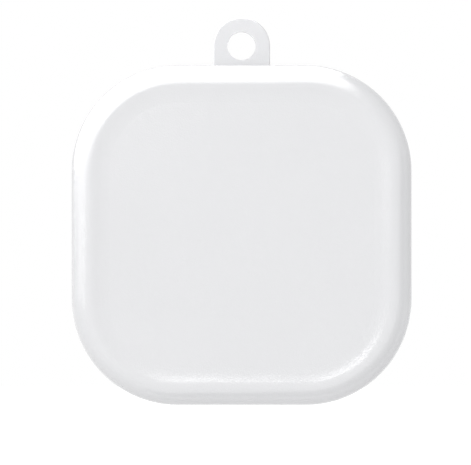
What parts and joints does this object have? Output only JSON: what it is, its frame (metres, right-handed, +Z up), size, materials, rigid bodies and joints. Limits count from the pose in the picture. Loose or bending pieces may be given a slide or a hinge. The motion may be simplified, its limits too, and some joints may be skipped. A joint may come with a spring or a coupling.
{
  "type": "zigbee range extender",
  "caption": "Small white rounded-square radio repeater with a hanging eye on top, a rear action button and a micro-B power socket below.",
  "frame": {"origin": "centre of the hanging eye's hole, in the plane of the case's flat back", "axes": "+X to the right as seen from the front, +Y out of the back towards the wall, +Z up towards the eye; the front face looks along -Y"},
  "size_m": [0.05, 0.013, 0.0574],
  "materials": {
    "white_shell": "white moulded ABS, polished on the outside, with a soft gloss",
    "white_button": "white moulded ABS, the button's cap",
    "label_film": "plain satin polyester film, blank",
    "screw_steel": "zinc-plated steel, the case screws",
    "socket_steel": "nickel-plated sheet steel of the socket",
    "tin_plating": "bright tin on leads and chip ends",
    "shield_steel": "tinned sheet steel of the radio's can",
    "gold_plating": "thin gold over nickel",
    "copper_track": "copper track under a thin clear film",
    "board_laminate": "glass-epoxy board with green solder mask",
    "module_laminate": "glass-epoxy board with dark blue solder mask",
    "black_resin": "black moulding resin of chips, switch and socket core",
    "ivory_resin": "ivory moulding of the lamp",
    "lamp_gel": "yellow phosphor gel in the lamp's window",
    "clear_resin": "clear polycarbonate of the light pipe",
    "dome_steel": "spring steel of the switch's snap dome",
    "tan_ceramic": "tan ceramic of the capacitors",
    "green_fuse": "green body of the resettable fuse",
    "grey_ferrite": "dark grey ferrite"
  },
  "bodies": {
    "housing": {"front_cover": "white_shell", "rear_cover": "white_shell", "rear_label": "label_film", "case_screws": "screw_steel", "board_screws": "screw_steel", "switch_base": "black_resin", "switch_cover": "tin_plating", "switch_dome": "dome_steel", "switch_leads": "tin_plating", "main_board": "board_laminate", "test_pads": "gold_plating", "usb_shell": "socket_steel", "usb_insulator": "black_resin", "usb_contacts": "gold_plating", "light_pipe": "clear_resin", "lamp_housing": "ivory_resin", "lamp_window": "lamp_gel", "lamp_ends": "tin_plating", "radio_board": "module_laminate", "radio_shield": "shield_steel", "radio_chip": "black_resin", "radio_crystal": "shield_steel", "radio_antenna": "copper_track", "radio_solder": "tin_plating", "regulator_body": "black_resin", "regulator_leads": "tin_plating", "memory_body": "black_resin", "memory_leads": "tin_plating", "surge_diode": "black_resin", "capacitors": "tan_ceramic", "resistors": "black_resin", "resettable_fuse": "green_fuse", "ferrite_bead": "grey_ferrite", "chip_ends": "tin_plating"},
    "action_button": {"action_button": "white_button"},
    "switch_plunger": {"switch_plunger": "black_resin"}
  },
  "joints": [
    {"name": "button_press", "type": "slide", "parent": "housing", "child": "action_button", "axis": [0, -1, 0], "range_m": [0, 0.00025], "stiffness_N_per_m": 6400},
    {"name": "plunger_travel", "type": "slide", "parent": "housing", "child": "switch_plunger", "axis": [0, -1, 0], "range_m": [0, 0.00025], "deforming": ["switch_dome"]}
  ],
  "couplings": [
    {"joint": "plunger_travel", "follows": "button_press", "ratio": 1}
  ]
}
